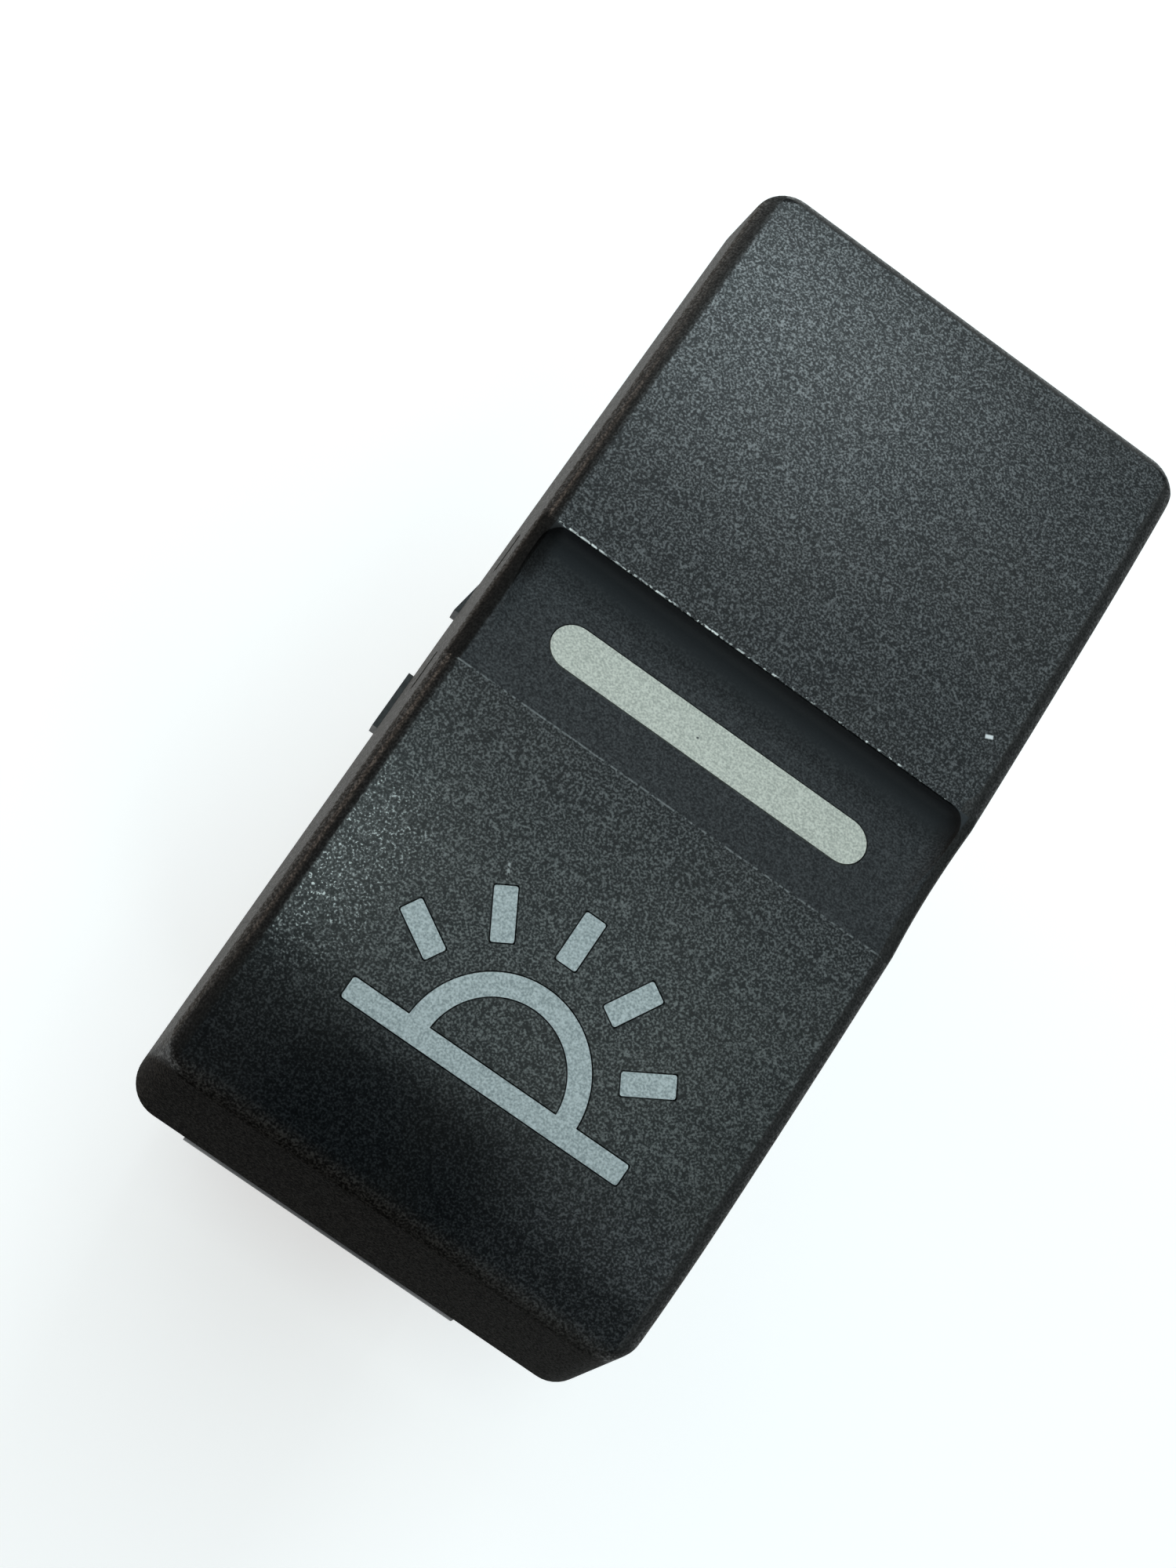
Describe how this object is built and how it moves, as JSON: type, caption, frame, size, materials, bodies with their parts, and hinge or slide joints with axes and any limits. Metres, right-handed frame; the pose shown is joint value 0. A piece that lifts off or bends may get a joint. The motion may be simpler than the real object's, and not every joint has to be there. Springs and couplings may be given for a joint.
{
  "type": "rocker light switch",
  "caption": "Dark dashboard rocker light switch: crowned cap with a stepped centre band, lit bar window and light pictogram, snap-in housing, contact set and blade terminals.",
  "frame": {"origin": "middle of the panel cut-out, on the panel's front face, which is the underside of the flange", "axes": "+Z out of the panel towards the user, +Y towards the plain half of the rocker, +X across the rocker; the tilt axis is parallel to X"},
  "size_m": [0.0232, 0.0484, 0.046],
  "materials": {
    "cap_plastic": "fine moulded grain, charcoal, lightly worn along the edges",
    "lens_plastic": "milky translucent, satin",
    "nylon": "natural, satin",
    "housing_plastic": "fine moulded, black",
    "spring_steel": "bright drawn",
    "brass": "stamped, lightly dulled",
    "contact_silver": "silver faced",
    "board": "green solder resist",
    "lamp_resin": "clear moulded resin",
    "resistor": "matt black"
  },
  "bodies": {
    "switch_body": {"housing": "housing_plastic", "terminal_base": "housing_plastic", "pivot_pin_left": "spring_steel", "pivot_pin_right": "spring_steel", "retaining_clip_upper": "spring_steel", "retaining_clip_lower": "spring_steel", "common_terminal_left": "brass", "common_terminal_right": "brass", "upper_terminal_left": "brass", "upper_terminal_right": "brass", "lower_terminal_left": "brass", "lower_terminal_right": "brass", "lamp_terminal_upper_left": "brass", "lamp_terminal_upper_right": "brass", "lamp_terminal_lower_left": "brass", "lamp_terminal_lower_right": "brass", "fixed_contacts": "contact_silver", "lamp_board": "board", "indicator_lamp": "lamp_resin", "symbol_lamp": "lamp_resin", "board_resistors": "resistor"},
    "rocker": {"rocker_cap": "cap_plastic", "indicator_lens": "lens_plastic", "symbol_diffuser": "lens_plastic", "rocker_carrier": "nylon", "plunger_spring_left": "spring_steel", "plunger_spring_right": "spring_steel"},
    "left_plunger": {"plunger_left": "nylon"},
    "right_plunger": {"plunger_right": "nylon"},
    "left_arm": {"contact_arm_left": "brass", "moving_contacts_left": "contact_silver"},
    "right_arm": {"contact_arm_right": "brass", "moving_contacts_right": "contact_silver"}
  },
  "joints": [
    {"name": "rocker_tilt", "type": "hinge", "parent": "switch_body", "child": "rocker", "pos_m": [0, 0, 0.0042], "axis": [1, 0, 0], "range_deg": [-8, 8]},
    {"name": "left_plunger_slide", "type": "slide", "parent": "rocker", "child": "left_plunger", "axis": [0, 0, 1], "range_m": [0, 0.0008], "stiffness_N_per_m": 400, "springref_m": -0.003, "deforming": ["plunger_spring_left"]},
    {"name": "right_plunger_slide", "type": "slide", "parent": "rocker", "child": "right_plunger", "axis": [0, 0, 1], "range_m": [0, 0.0008], "stiffness_N_per_m": 400, "springref_m": -0.003, "deforming": ["plunger_spring_right"]},
    {"name": "left_arm_rock", "type": "hinge", "parent": "switch_body", "child": "left_arm", "pos_m": [-0.0044, 0, -0.0058], "axis": [1, 0, 0], "range_deg": [-6.5, 6.5]},
    {"name": "right_arm_rock", "type": "hinge", "parent": "switch_body", "child": "right_arm", "pos_m": [0.0044, 0, -0.0058], "axis": [1, 0, 0], "range_deg": [-6.5, 6.5]}
  ],
  "couplings": [
    {"joint": "left_arm_rock", "follows": "rocker_tilt", "ratio": -0.75},
    {"joint": "right_arm_rock", "follows": "rocker_tilt", "ratio": -0.75}
  ]
}
